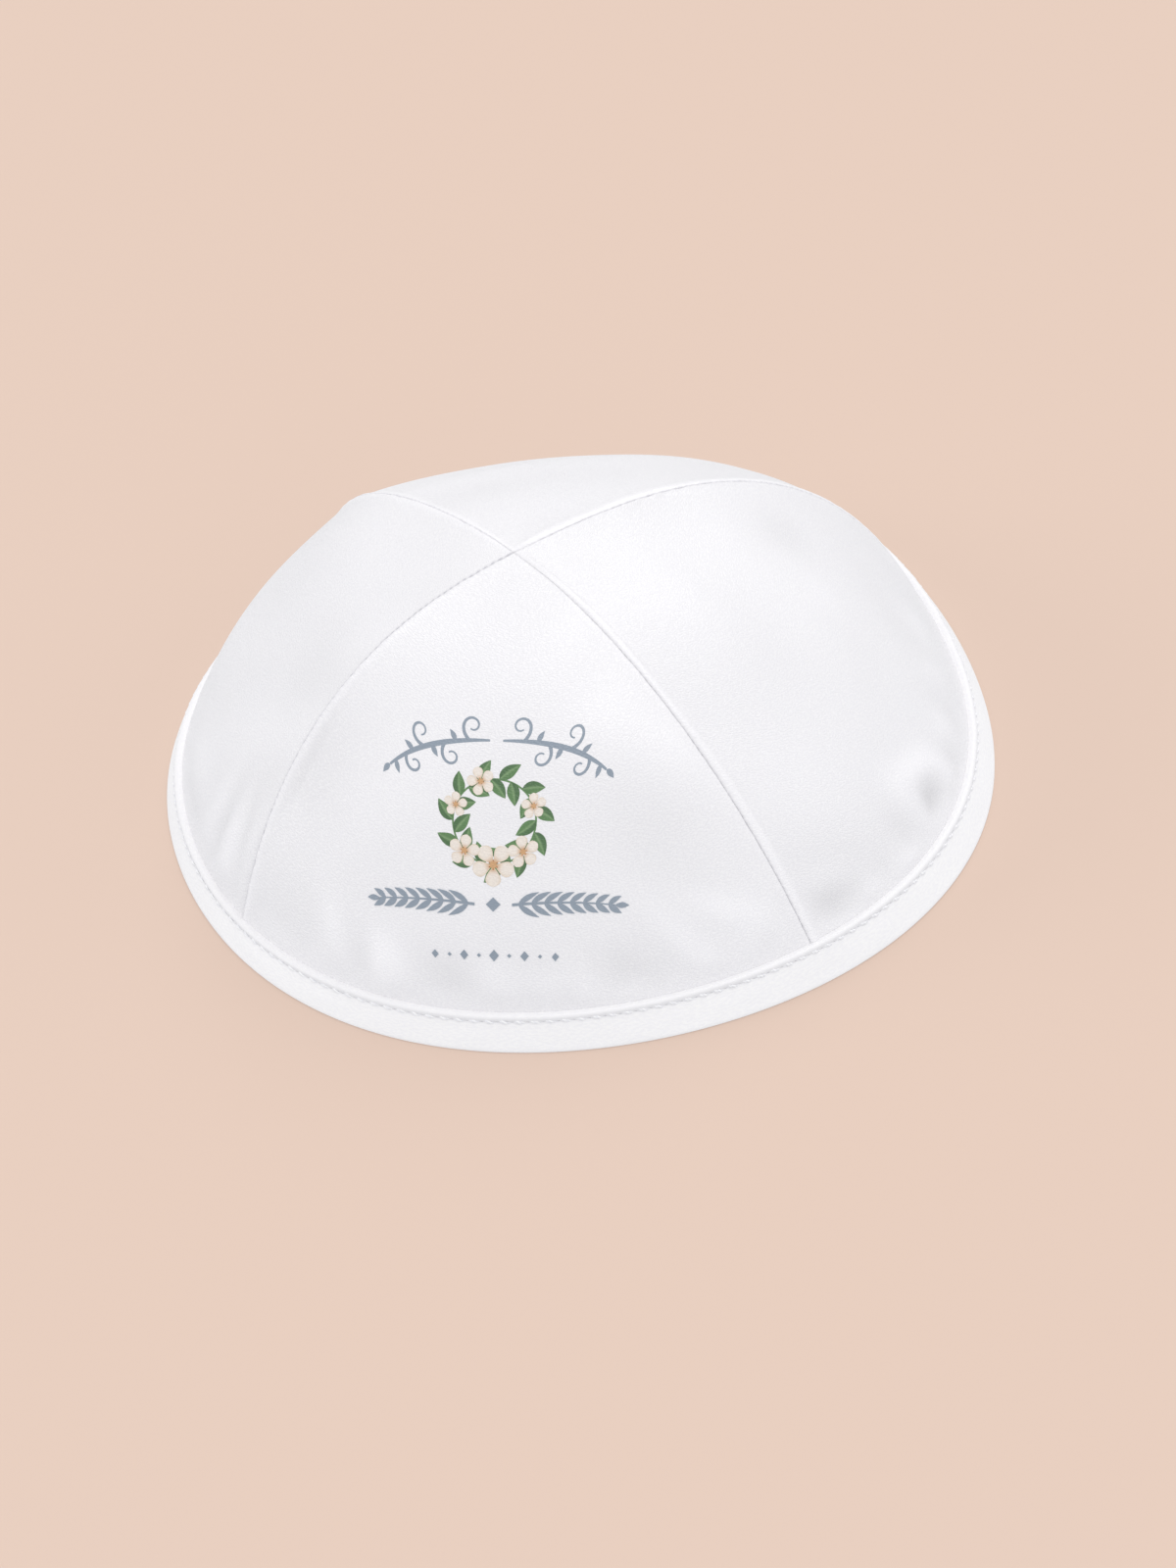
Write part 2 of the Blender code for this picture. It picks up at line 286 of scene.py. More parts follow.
# Crepe-backed polyester satin, woven: its floats give a soft sheen over fine slanting pebbles
gore = {
    "colour": "#F6F5F6",
    "shade": "#EFEEF1",  # where the floats dip
    "paintedSheenOnRise": 0.10,  # painted highlight: how much brighter a millimetre's rise paints the satin, and a hollow darker
    "seamPaintedSheen": 3.0,  # how many times more the folds along the seams count in that painted highlight
    "dullestPaintedShade": 0.82,  # limits of that painted highlight and painted shade
    "brightestPaintedSheen": 1.08,
    "seamPaintedShade": "#A2A2AC",  # painted shade in the line of a seam
    "floatLength": 0.52 * mm,  # real floats are near 0.3 mm, drawn coarse enough to show
    "floatWidth": 0.30 * mm,
    "floatTurn": 38,  # in degrees
    "floatRise": 0.10 * mm,
    "cloudSize": 18 * mm,
    "clouding": 0.3,
    "bump": 0.45,
    "roughness": 0.32,
    "gloss": 1.0,
    "sheen": 0.25,
    "columns": 130,
    "rows": 200,
    "tuckRows": 3,
    "crowding": 0.90,  # how much closer the columns stand at the seams
    "tip": 0.002,  # share of its length where a gore starts, just off the crossing
    "tuck": 5 * mm,  # cloth inside the binding that the flat size counts
    "stitchPitch": 1.5 * mm,  # stitches that close the seams
    "stitchRise": 0.10 * mm,
    "stitchBump": 0.8,
    "stitchFaint": 0.35,  # how much of the painted shade in a seam's line shows between two stitches
    "lineStart": 0.5,  # how dark that painted shade is at the crossing
    "puckerPitch": 2.2 * mm,
    "puckerSpread": 2.5 * mm,
    "puckerReach": 1.2 * mm,
    "stripLine": 0.35 * mm,  # the stitched line along a strip: width, depth, unevenness
    "stripSink": 0.07 * mm,
    "stripPull": 0.8,
    "stripRise": 0.10 * mm,  # how far the turned cloth under a strip raises it
    "stripEdge": 0.4 * mm,
    "crossingFade": 0.05,
    "gatherRise": 0.16 * mm,  # small waves where the cloth goes under the binding
    "gatherReach": 6.0 * mm,
    "gatherWide": 5 * mm,
    "gatherLong": 14 * mm,
    "waveRise": 0.25 * mm,  # slow waves of the soft cloth
    "waveSize": 24 * mm,
    "waveStart": 0.25,
    "waveEnd": 6 * mm,
    "seamFade": 0.04,  # where creases, gathers and waves die out by the seams and the binding
    "bindingFade": 2.5 * mm,
    "bindingLeft": 0.15,
}

# Each seam's upper gore folds over the lower one. In millimetres: how both edges round off,
# depth of the line, height and width of the folds beside it, width of a stitched strip,
# puckers, width of the painted shade in the line; then how dark that painted shade is on both
# edges, and where down the seam the folds reach their full height
seamLook = {
    "frontLeft": {
        "over": "panel_front", "overRound": 0.25, "underRound": 0.45, "depth": 0.32,
        "overPuff": 0.36, "underPuff": -0.12, "puffWide": 1.0, "strip": 0.0, "pucker": 0.09,
        "lineWide": 0.42, "overShade": 0.30, "underShade": 1.2, "fullFrom": 0.55,
    },
    "frontRight": {
        "over": "panel_right", "overRound": 0.80, "underRound": 0.20, "depth": 0.20,
        "overPuff": 0.20, "underPuff": 0.10, "puffWide": 1.0, "strip": 1.9, "pucker": 0.05,
        "lineWide": 0.22, "overShade": 0.22, "underShade": 0.25, "fullFrom": 0.30,
    },
    "backRight": {
        "over": "panel_back", "overRound": 1.10, "underRound": 0.25, "depth": 0.38,
        "overPuff": 0.34, "underPuff": 0.02, "puffWide": 1.4, "strip": 0.0, "pucker": 0.08,
        "lineWide": 0.22, "overShade": 0.25, "underShade": 0.45, "fullFrom": 0.05,
    },
    "backLeft": {
        "over": "panel_back", "overRound": 0.35, "underRound": 0.30, "depth": 0.20,
        "overPuff": 0.30, "underPuff": 0.24, "puffWide": 1.0, "strip": 0.0, "pucker": 0.06,
        "lineWide": 0.20, "overShade": 0.20, "underShade": 0.35, "fullFrom": 0.05,
    },
}

# Small folds that the sewing leaves: gore, across, down, wide and long in millimetres,
# turn in degrees, rise in millimetres
creases = (
    ("panel_front", 0.580, 0.945, 1.8, 3.2, 79, 0.30),
    ("panel_front", 0.640, 0.965, 1.8, 4.0, 23, 0.35),
    ("panel_front", 0.310, 0.955, 2.2, 4.0, 20, 0.35),
    ("panel_front", 0.820, 0.700, 7.0, 8.0, 34, -0.60),
    ("panel_front", 0.090, 0.670, 8.0, 10.0, 20, -0.60),
    ("panel_front", 0.930, 0.550, 5.0, 10.0, 42, 0.45),
    ("panel_left", 0.780, 0.480, 7.0, 9.0, 60, -0.50),
    ("panel_left", 0.700, 0.880, 3.0, 6.0, 75, 0.30),
    ("panel_right", 0.075, 0.915, 2.5, 5.0, 74, 0.50),
    ("panel_right", 0.230, 0.985, 1.8, 1.8, 0, 0.35),
    ("panel_right", 0.250, 0.930, 3.0, 3.5, 30, -0.35),
    ("panel_right", 0.060, 0.970, 2.5, 2.5, 0, -0.50),
    ("panel_right", 0.130, 0.975, 2.0, 2.6, 0, 0.40),
    ("panel_right", 0.450, 0.950, 2.0, 4.0, 0, -0.35),
    ("panel_right", 0.620, 0.890, 3.0, 4.5, 37, 0.50),
    ("panel_right", 0.740, 0.870, 4.0, 4.0, 0, 0.45),
    ("panel_right", 0.840, 0.540, 5.0, 4.0, 70, -0.60),
    ("panel_right", 0.650, 0.600, 3.0, 4.0, -48, 0.30),
)
creaseLimit = {"down": 0.4, "reach": 12}  # beyond these a crease adds nothing


def crowd(share, amount):
    return share - amount * sin(2 * pi * share) / (2 * pi)


def seamDistances(name, across, down):
    width = goreWidth(name, down)
    return zip(panels[name]["seams"], (across * width, (1 - across) * width))


def creaseRise(name, across, down):
    # adds up the creases near one place of a gore
    total = 0.0
    for panel, creaseAcross, creaseDown, wide, long, turn, rise in creases:
        if panel != name or abs(down - creaseDown) > creaseLimit["down"]:
            continue
        turn = radians(turn)
        sideways = (across - creaseAcross) * goreWidth(name, down)
        below = (down - creaseDown) * goreLength[name]
        crosswise = (sideways * cos(turn) - below * sin(turn)) / (wide * mm)
        lengthwise = (sideways * sin(turn) + below * cos(turn)) / (long * mm)
        reach = crosswise ** 2 + lengthwise ** 2
        if reach < creaseLimit["reach"]:
            total += rise * exp(-reach / 2)
    return total * mm


def seamSide(seam, name):
    return "over" if seamLook[seam]["over"] == name else "under"


def seamPuff(name, across, down):
    # the soft folds along both sides of a seam
    rise = 0.0
    for seam, distance in seamDistances(name, across, down):
        look, side = seamLook[seam], seamSide(seam, name)
        beyond = (distance - look[side + "Round"] * mm) / (look["puffWide"] * mm)
        grown = ease(down / look["fullFrom"])
        rise += look[side + "Puff"] * mm * grown * exp(-beyond ** 2)
    return rise


def seamRelief(name, across, down):
    # the edges of the gore roll into the seams and pucker where the stitches pull
    along = down * goreLength[name]
    groove = relief = 0.0
    for seam, distance in seamDistances(name, across, down):
        look, side = seamLook[seam], seamSide(seam, name)
        edgeRound = look[side + "Round"] * mm
        if distance < edgeRound:
            dip = 1 - sqrt(1 - (1 - distance / edgeRound) ** 2)
            groove = min(groove, -look["depth"] * mm * dip)
        spot = (along / gore["puckerPitch"], distance / gore["puckerSpread"], seams[seam]["azimuth"])
        pull = noise.noise(Vector(spot))
        relief += look["pucker"] * mm * pull * 2 * exp(-distance / gore["puckerReach"])
        if look["strip"] and side == "over":
            stitched = exp(-((distance - look["strip"] * mm) / gore["stripLine"]) ** 2)
            relief -= gore["stripSink"] * stitched * (1 + gore["stripPull"] * pull)
            relief += gore["stripRise"] * ease((look["strip"] * mm - distance) / gore["stripEdge"])
    return groove + relief * ease(down / gore["crossingFade"]) + seamPuff(name, across, down)


def seamPullAndShade(name, across, down):
    # how strongly the closing stitches pull here, and how much painted shade lies in the seam's line:
    # most on the lower gore, close to the line
    pull = 0.0
    for seam, distance in seamDistances(name, across, down):
        look = seamLook[seam]
        grown = blend(gore["lineStart"], 1, ease(down / look["fullFrom"]))
        strength = look[seamSide(seam, name) + "Shade"] * grown
        pull = max(pull, strength * exp(-(distance / (look["lineWide"] * mm)) ** 2))
    return pull


def rimRelief(name, across, down):
    # creases, small gathers along the binding, and slow waves over the whole gore
    up = (1 - down) * goreLength[name]
    side = across * goreWidth(name, down)
    seed = seams[panels[name]["seams"][0]]["azimuth"]
    gather = noise.noise(Vector((side / gore["gatherWide"], up / gore["gatherLong"], seed)))
    wave = noise.noise(Vector((side / gore["waveSize"], up / gore["waveSize"], seed)))
    relief = gore["gatherRise"] * 2 * gather * exp(-up / gore["gatherReach"])
    relief += gore["waveRise"] * 2 * wave * ease(down / gore["waveStart"]) * ease(up / gore["waveEnd"])
    relief += creaseRise(name, across, down)
    bySeam = ease(min(across, 1 - across) / gore["seamFade"])
    return relief * bySeam * ease(up / gore["bindingFade"] + gore["bindingLeft"])


def paintedSheenAndShade(name, across, down):
    # painted highlight on the satin's ridges and painted shade in its hollows, taken from the relief
    rise = foldRise(name, across, down) + rimRelief(name, across, down)
    rise += seamPuff(name, across, down) * gore["seamPaintedSheen"]
    share = gore["paintedSheenOnRise"] * rise / mm
    return min(max(1 + share, gore["dullestPaintedShade"]), gore["brightestPaintedSheen"])


def panelPoint(name, across, travel, depth):
    # travel goes from 0 at the crossing to 1 at the binding and to 2 at the cut edge inside it
    down = min(travel, 1.0)
    relief = 0.0
    if not depth:
        relief = seamRelief(name, across, down) + rimRelief(name, across, down)
    if travel <= 1:
        return crownPoint(name, across, down, relief - depth)
    azimuth = panelAzimuth(name, across)
    radius, height, slope = bindingLine(azimuth)
    slot = (height - cap["bindingFold"]) / sin(slope) - cap["fitGap"]
    return bindingPoint(azimuth, slot * (travel - 1), relief - depth)


def addPiece(name, mesh, material, sharpAngle=180):
    data = bpy.data.meshes.new(name)
    mesh.to_mesh(data)
    mesh.free()
    data.shade_smooth()
    if sharpAngle < 180:
        data.set_sharp_from_angle(angle=radians(sharpAngle))
    data.materials.append(material)
    piece = bpy.data.objects.new(name, data)
    bpy.context.scene.collection.objects.link(piece)
    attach(piece, "root")
    return piece


def makePanel(name, material):
    # one gore, thickened inwards, its lower edge running down inside the binding
    rows = gore["rows"] + gore["tuckRows"]
    mesh = bmesh.new()
    cut = mesh.loops.layers.uv.new("cut")
    pulled = mesh.verts.layers.float.new("seamPullAndShade")
    paintedSheen = mesh.verts.layers.float.new("paintedSheenAndShade")
    bmesh.ops.create_grid(mesh, x_segments=gore["columns"], y_segments=rows, size=0.5)
    grown = bmesh.ops.extrude_face_region(mesh, geom=mesh.faces[:], use_keep_orig=True)
    inner = {item for item in grown["geom"] if isinstance(item, bmesh.types.BMVert)}
    place = {}
    for vertex in mesh.verts:
        row = (vertex.co.y + 0.5) * rows
        travel = row / gore["rows"]
        if travel > 1:
            travel = 1 + (row - gore["rows"]) / gore["tuckRows"]
        travel = max(travel, gore["tip"])
        across = crowd(vertex.co.x + 0.5, gore["crowding"])
        down = min(travel, 1.0)
        place[vertex] = ((across - 0.5) * goreWidth(name, down), -travel * goreLength[name])
        vertex[paintedSheen] = 1.0
        if vertex in inner:
            vertex.co = panelPoint(name, across, travel, cap["panelWall"])
            continue
        # stitch pull for the bump, and painted shade in the seam's line
        vertex[pulled] = seamPullAndShade(name, across, down)
        # painted highlight on ridges and painted shade in hollows
        vertex[paintedSheen] = paintedSheenAndShade(name, across, down)
        vertex.co = panelPoint(name, across, travel, 0)
    for face in mesh.faces:
        for loop in face.loops:
            loop[cut].uv = place[loop.vert]
    bmesh.ops.recalc_face_normals(mesh, faces=mesh.faces[:])
    piece = addPiece(name + "_satin", mesh, material, 60)
    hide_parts(name)
    return piece


def makeGoreMaterial():
    # the cloth, with the closing stitches of the seams showing as small pulls with painted shade along
    # their lines, and a painted highlight on ridges with painted shade in hollows
    material, shader, colour = clothMaterial("white_crepe_backed_satin", gore)
    place = addNode(material, "UVMap", {"uv_map": "cut"})
    pulled = addNode(material, "Attribute", {"attribute_name": "seamPullAndShade"})
    stitches = addNode(material, "TexWave", {
        "bands_direction": "Y", "Scale": waveUnit / gore["stitchPitch"], "Distortion": 1.5,
    }, {"Vector": place.outputs["UV"]})
    notches = addNode(material, "MapRange", {"To Min": gore["stitchFaint"], "To Max": 1.0},
                      {"Value": stitches.outputs["Fac"]})
    pullsAndShade = addNode(material, "Math", {"operation": "MULTIPLY"}, {
        0: notches.outputs["Result"], 1: pulled.outputs["Fac"],
    })
    # painted highlight and painted shade from the relief scale the cloth's colour
    paintedSheen = addNode(material, "Attribute", {"attribute_name": "paintedSheenAndShade"})
    sheenPaintedColour = addNode(material, "VectorMath", {"operation": "SCALE"}, {
        "Vector": colour.outputs[colourMix["result"]], "Scale": paintedSheen.outputs["Fac"],
    })
    # painted shade in the seam's line, darker at each stitch
    sheenAndSeamShade = addNode(material, "Mix", {"data_type": "RGBA", colourMix["second"]: gore["seamPaintedShade"]}, {
        colourMix["factor"]: pullsAndShade.outputs["Value"], colourMix["first"]: sheenPaintedColour.outputs["Vector"],
    })
    floats = shader.inputs["Normal"].links[0].from_socket
    bump = addNode(material, "Bump", {
        "Strength": gore["stitchBump"], "Distance": gore["stitchRise"],
    }, {"Height": pullsAndShade.outputs["Value"], "Normal": floats})
    material.node_tree.links.new(sheenAndSeamShade.outputs[colourMix["result"]], shader.inputs["Base Color"])
    material.node_tree.links.new(bump.outputs["Normal"], shader.inputs["Normal"])
    return material


# Satin bias tape, folded and pressed: smoother and duller than the gores, pierced by the needle
tape = {
    "colour": "#FFFEFD",
    "shade": "#F9F8FA",
    # colour of the painted shade in the needle's holes, on the roll and by the gores
    "paintedShadeColour": "#CBCBD2",
    "floatLength": 0.90 * mm,
    "floatWidth": 0.36 * mm,
    "floatTurn": 45,
    "floatRise": 0.05 * mm,
    "cloudSize": 12 * mm,
    "clouding": 0.3,
    "bump": 0.35,
    "roughness": 0.42,
    "gloss": 0.8,
    "sheen": 0.25,
    "stitches": 182,  # about 2.8 mm apart
    "stepsPerStitch": 8,
    "flatLength": 520 * mm,
    "flatWidth": 16 * mm,
    "rollWidth": 1.50 * mm,
    "rollProud": 0.12 * mm,
    "rollLean": 0.58,  # under 1 the roll's crest stands nearer the gores than the stitches
    "rollPress": 0.35 * mm,  # how far its edge presses into the gores
    "ditchDepth": 0.16 * mm,
    "ditchWidth": 0.60 * mm,
    "holeDepth": 0.20 * mm,
    "bandCrown": 0.10 * mm,
    "quilting": 0.10 * mm,  # how far each stitch pulls the tape down beside it
    "edgeRound": 0.9 * mm,
    "flare": 0.25 * mm,  # how far the free edge stands off
    "edgePaintedShadow": 0.12,  # painted shadow: the dark line where the roll meets the gores
    "rollPaintedShade": 0.28,  # painted shade on the roll's outer side
    "shadeStart": 0.3,  # share of that on its inner side
    "shadeFade": 4,  # outline points past the holes over which it fades
    "ditchQuilt": 0.5,  # shares of the quilting in the ditch and on the roll's crest
    "crestQuilt": 0.4,
    "quiltFade": 5,
    "rippleTurns": 14,  # small unevenness of the outer side
    "ripplePitch": 4 * mm,
    "rippleRise": 0.10 * mm,
    "ripplePoints": 14,  # outline points past the holes that it reaches
    "legTip": 0.8 * mm,
    "rollSteps": 10,
    "ditchSteps": 4,
    "bandSteps": 10,
    "outerSteps": 5,
    "innerSteps": 4,
    "legSteps": 3,
    "pointPitch": 0.5 * mm,
    "weld": 0.002 * mm,
}


def roundedCorner(before, corner, after, steps):
    return [
        tuple(
            blend(blend(before[axis], corner[axis], step / steps),
                  blend(corner[axis], after[axis], step / steps), step / steps)
            for axis in (0, 1)
        )
        for step in range(steps + 1)
    ]


def tapeOutline(azimuth, phase):
    # the folded strip cut through: places along and out from the slot's mouth, right round
    height, slope = bindingLine(azimuth)[1:]
    outer = cap["fitGap"] + cap["bindingWall"]
    inner = -cap["panelWall"] - cap["fitGap"]
    leg = inner - cap["bindingWall"]
    width = tape["rollWidth"]
    pulled = 0.5 + 0.5 * cos(2 * pi * phase)  # 1 at the needle's holes, 0 between them
    ditch = outer - tape["ditchDepth"] - tape["quilting"] * pulled * tape["ditchQuilt"]
    crest = outer + tape["rollProud"] + tape["rollPress"]
    crest -= tape["quilting"] * pulled * tape["crestQuilt"]
    points = []

    rollEnd = (1 - asin((ditch + tape["rollPress"]) / crest) / pi) ** (1 / tape["rollLean"])
    for step in range(tape["rollSteps"] + 1):
        share = step / tape["rollSteps"] * rollEnd
        swell = crest * sin(pi * share ** tape["rollLean"])
        points.append((width * share / rollEnd, swell - tape["rollPress"]))
    deepest = len(points)
    points.append((width, ditch - tape["holeDepth"] * (phase in (0, 1))))
    for step in range(1, tape["ditchSteps"] + 1):
        share = step / tape["ditchSteps"]
        points.append((width + tape["ditchWidth"] * share, blend(ditch, outer, ease(share))))

    bandStart = width + tape["ditchWidth"]
    flared = outer + tape["flare"]
    outerCorner = (height + flared * cos(slope)) / sin(slope)
    bandEnd = outerCorner - tape["edgeRound"]
    for step in range(1, tape["bandSteps"]):
        share = step / tape["bandSteps"]
        pull = tape["quilting"] * pulled * exp(-share * tape["quiltFade"])
        crown = tape["bandCrown"] * sin(pi * share)
        out = blend(outer, flared, share ** 2)
        points.append((blend(bandStart, bandEnd, share), out + crown - pull))
    points += roundedCorner(
        (bandEnd, flared),
        (outerCorner, flared),
        (outerCorner - tape["edgeRound"] * cos(slope), flared - tape["edgeRound"] * sin(slope)),
        tape["outerSteps"])
    innerCorner = (height + leg * cos(slope)) / sin(slope)
    points += roundedCorner(
        (innerCorner + tape["edgeRound"] * cos(slope), leg + tape["edgeRound"] * sin(slope)),
        (innerCorner, leg),
        (innerCorner - tape["edgeRound"], leg),
        tape["innerSteps"])
    legTop = cap["fitGap"] + cap["bindingWall"] / 2
    for step in range(1, tape["legSteps"] + 1):
        share = step / tape["legSteps"]
        points.append((blend(innerCorner - tape["edgeRound"], legTop, share), leg))
    tip = (legTop - tape["legTip"], (leg + inner) / 2)
    points += roundedCorner((legTop, leg), tip, (legTop, inner), tape["innerSteps"])[1:]
    slotEnd = (height - cap["bindingFold"]) / sin(slope)
    points.append((slotEnd, inner))
    points.append((slotEnd, cap["fitGap"]))
    return points, deepest


def tapePaintedShade(corner, deepest, pierced):
    # painted shade on the tape: a painted shadow by the gores, shade over the roll to the stitches, and
    # in the holes
    if pierced:
        return 1.0
    if corner < 2:
        return tape["edgePaintedShadow"]
    if corner <= deepest:
        return tape["rollPaintedShade"] * blend(tape["shadeStart"], 1, corner / deepest)
    return tape["rollPaintedShade"] * max(1 - (corner - deepest) / tape["shadeFade"], 0)


def makeBinding(material):
    steps = tape["stitches"] * tape["stepsPerStitch"]
    count = len(tapeOutline(0, 0)[0])
    mesh = bmesh.new()
    bmesh.ops.create_grid(mesh, x_segments=steps, y_segments=count, size=0.5)
    cut = mesh.loops.layers.uv.new("cut")
    paintedShade = mesh.verts.layers.float.new("paintedShade")
    place = {}
    outlines = {}
    for vertex in mesh.verts:
        step = round((vertex.co.x + 0.5) * steps)
        corner = round((vertex.co.y + 0.5) * count)
        azimuth = 2 * pi * step / steps
        if step not in outlines:
            phase = step % tape["stepsPerStitch"] / tape["stepsPerStitch"]
            outlines[step] = tapeOutline(azimuth, phase) + (phase,)
        points, deepest, phase = outlines[step]
        along, out = points[corner % count]
        spot = onAzimuth(azimuth, tape["rippleTurns"], along / tape["ripplePitch"])
        ripple = noise.noise(spot)
        onBand = 0 < corner < deepest + tape["ripplePoints"]
        if corner < len(points) - 1:
            # painted shade: a painted shadow by the gores, shade over the roll and in the ditch,
            # darkest in the holes
            vertex[paintedShade] = tapePaintedShade(corner, deepest, corner == deepest and phase == 0)
        place[vertex] = (azimuth * cap["rimDiameter"] / 2, corner * tape["pointPitch"])
        vertex.co = bindingPoint(azimuth, along, out + tape["rippleRise"] * ripple * onBand)
    for face in mesh.faces:
        for loop in face.loops:
            loop[cut].uv = place[loop.vert]
    bmesh.ops.remove_doubles(mesh, verts=mesh.verts[:], dist=tape["weld"])
    bmesh.ops.recalc_face_normals(mesh, faces=mesh.faces[:])
    piece = addPiece("rim_binding_tape", mesh, material, 70)
    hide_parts("rim_binding")
    return piece


def makeTapeMaterial():
    # the pressed cloth, with painted shade in the needle's holes and on the roll, and a painted shadow
    # beside the gores
    material, shader, colour = clothMaterial("pressed_satin_bias_tape", tape)
    paintedShade = addNode(material, "Attribute", {"attribute_name": "paintedShade"})
    holesAndPaintedShade = addNode(material, "Mix", {"data_type": "RGBA", colourMix["second"]: tape["paintedShadeColour"]}, {
        colourMix["factor"]: paintedShade.outputs["Fac"],
        colourMix["first"]: colour.outputs[colourMix["result"]],
    })
    material.node_tree.links.new(holesAndPaintedShade.outputs[colourMix["result"]], shader.inputs["Base Color"])
    return material


# Spun polyester sewing thread: two plies, matt beside the satin
thread = {
    "colour": "#FFFFFF",
    "shade": "#EEEEF2",
    "plyPitch": 0.5 * mm,
    "thickness": 0.42 * mm,
    "length": 0.82,  # share of the stitch's pitch that shows
    "slant": 0.22 * mm,
    "rise": 0.20 * mm,
    "flatness": 1.2,
    "taper": 0.25,
    "dive": 2.2,  # how steeply the ends of a stitch go down
}


def makeThreadMaterial():
    material = bpy.data.materials.new("spun_polyester_thread")
    material.use_nodes = True
    material.node_tree.nodes.clear()
    place = addNode(material, "TexCoord")
    plies = addNode(material, "TexWave", {
        "bands_direction": "DIAGONAL", "Scale": 1 / thread["plyPitch"] / 3, "Distortion": 1.0,
    }, {"Vector": place.outputs["Object"]})
    colour = addNode(material, "Mix", {
        "data_type": "RGBA", colourMix["first"]: thread["shade"], colourMix["second"]: thread["colour"],
    }, {colourMix["factor"]: plies.outputs["Fac"]})
    bump = addNode(material, "Bump", {"Strength": 0.4, "Distance": 0.05 * mm},
                   {"Height": plies.outputs["Fac"]})
    shader = addNode(material, "BsdfPrincipled", {"Roughness": 0.6, "IOR": 1.5, "Sheen Weight": 0.2}, {
        "Base Color": colour.outputs[colourMix["result"]], "Normal": bump.outputs["Normal"],
    })
    addNode(material, "OutputMaterial", links={"Surface": shader.outputs["BSDF"]})
    return material


def makeBindingStitches(material):
    # lockstitches in the ditch: fatter at one end, each diving into the needle's holes
    pitch = 2 * pi / tape["stitches"]
    ditch = cap["fitGap"] + cap["bindingWall"] - tape["ditchDepth"]
    mesh = bmesh.new()
    for number in range(tape["stitches"]):
        stitch = bmesh.ops.create_uvsphere(mesh, u_segments=8, v_segments=8, radius=1.0)
        wander = noise.noise(Vector((number * 0.7, 3.1, 0.0)))
        for vertex in stitch["verts"]:
            side, rise, way = vertex.co
            azimuth = pitch * (number + 0.5 + way * thread["length"] / 2)
            girth = thread["thickness"] / 2 * (1.0 - thread["taper"] * way)
            along = tape["rollWidth"] + side * girth * thread["flatness"]
            along += way * thread["slant"] * (1 + wander)
            out = ditch + rise * girth + thread["rise"] * (1 - thread["dive"] * way * way)
            vertex.co = bindingPoint(azimuth, along, out)
    bmesh.ops.recalc_face_normals(mesh, faces=mesh.faces[:])
    return addPiece("rim_binding_stitches", mesh, material)


# Printed ornament on the front gore, drawn flat in millimetres: side from the gore's
# middle line, low from the crossing. Every mark is a stroke: a line with a changing width.
ink = {
    "slate": "#92A0AD",
    "leafDark": "#2F5E2B",
    "leafLight": "#5C8A4C",
    "leafRib": "#86A873",
    "cream": "#FAF1E4",
    "creamShade": "#EBD9C0",
    "warm": "#D8A873",
    "seed": "#B9793F",
    "filmHeight": 0.02 * mm,
    "layerStep": 0.0005 * mm,
    "lineSag": 0.0055,  # printed lines dip towards their ends, per millimetre
}

# Where the marks of the ornament stand, in millimetres below the crossing, and their sizes
ornament = {
    "scrollLow": 41.0,
    "wreathLow": 55.5,
    "wreathRing": 7.6,
    "wreathLeaves": 22,
    "laurelLow": 70.2,
    "laurelPairs": 8,
    "middleMark": 2.6,
    "lozengeLow": 79.6,
    "lozengePitch": 2.75,
}


class Drawing:
    # collects strokes: flat places, heights and colours, which makePrint then lays on the gore
    def __init__(self):
        self.mesh = bmesh.new()
        self.colour = self.mesh.verts.layers.float_color.new("inkColour")
        self.flat = self.mesh.verts.layers.float_vector.new("flatPlace")
        self.layer = 0

    def stroke(self, line, halfWidth, paint, steps=14, ribs=4):
        grid = bmesh.ops.create_grid(self.mesh, x_segments=steps, y_segments=ribs, size=0.5)
        self.layer += 1
        for vertex in grid["verts"]:
            share = vertex.co.x + 0.5
            side = vertex.co.y * 2
            before = Vector(line(max(share - 0.01, 0)))
            after = Vector(line(min(share + 0.01, 1)))
            heading = (after - before).normalized()
            normal = Vector((-heading.y, heading.x))
            spot = Vector(line(share)) + normal * side * max(halfWidth(share), 0.01)
            vertex[self.flat] = (spot.x, spot.y, self.layer)
            vertex[self.colour] = paint(share, side)


def plainPaint(code):
    colour = linearColour(code)
    return lambda share, side: colour


def inkColours(*names):
    return [Vector(linearColour(ink[name])) for name in names]


def leafPaint(share, side):
    dark, light, rib = inkColours("leafDark", "leafLight", "leafRib")
    if abs(side) < 0.15:
        return tuple(blend(light, rib, 0.7))
    return tuple(blend(dark, light, (0.65 if side > 0 else 0.15) + 0.3 * share))


def petalPaint(share, side):
    cream, shade, warm = inkColours("cream", "creamShade", "warm")
    colour = blend(warm, cream, ease(share * 2.2))
    return tuple(blend(colour, shade, ease((abs(side) - 0.55) / 0.45) * 0.8))


def leafWidth(half, lean=1.0):
    # half the width of a pointed mark along its line
    return lambda share: half * sin(pi * share ** lean) if 0 < share < 1 else 0


def dotWidth(half):
    return lambda share: half * sqrt(max(1 - (2 * share - 1) ** 2, 0))


def lozengeWidth(half):
    return lambda share: half * (1 - abs(2 * share - 1))


def straight(x, y, angle, length, bend=0.0):
    # a line from a place at a heading in degrees, bending evenly by bend degrees
    def line(share):
        if abs(bend) < 0.01:
            return (x + length * share * cos(radians(angle)), y + length * share * sin(radians(angle)))
        radius = length / radians(bend)
        start = radians(angle)
        end = radians(angle + bend * share)
        return (x + radius * (sin(end) - sin(start)), y - radius * (cos(end) - cos(start)))
    return line


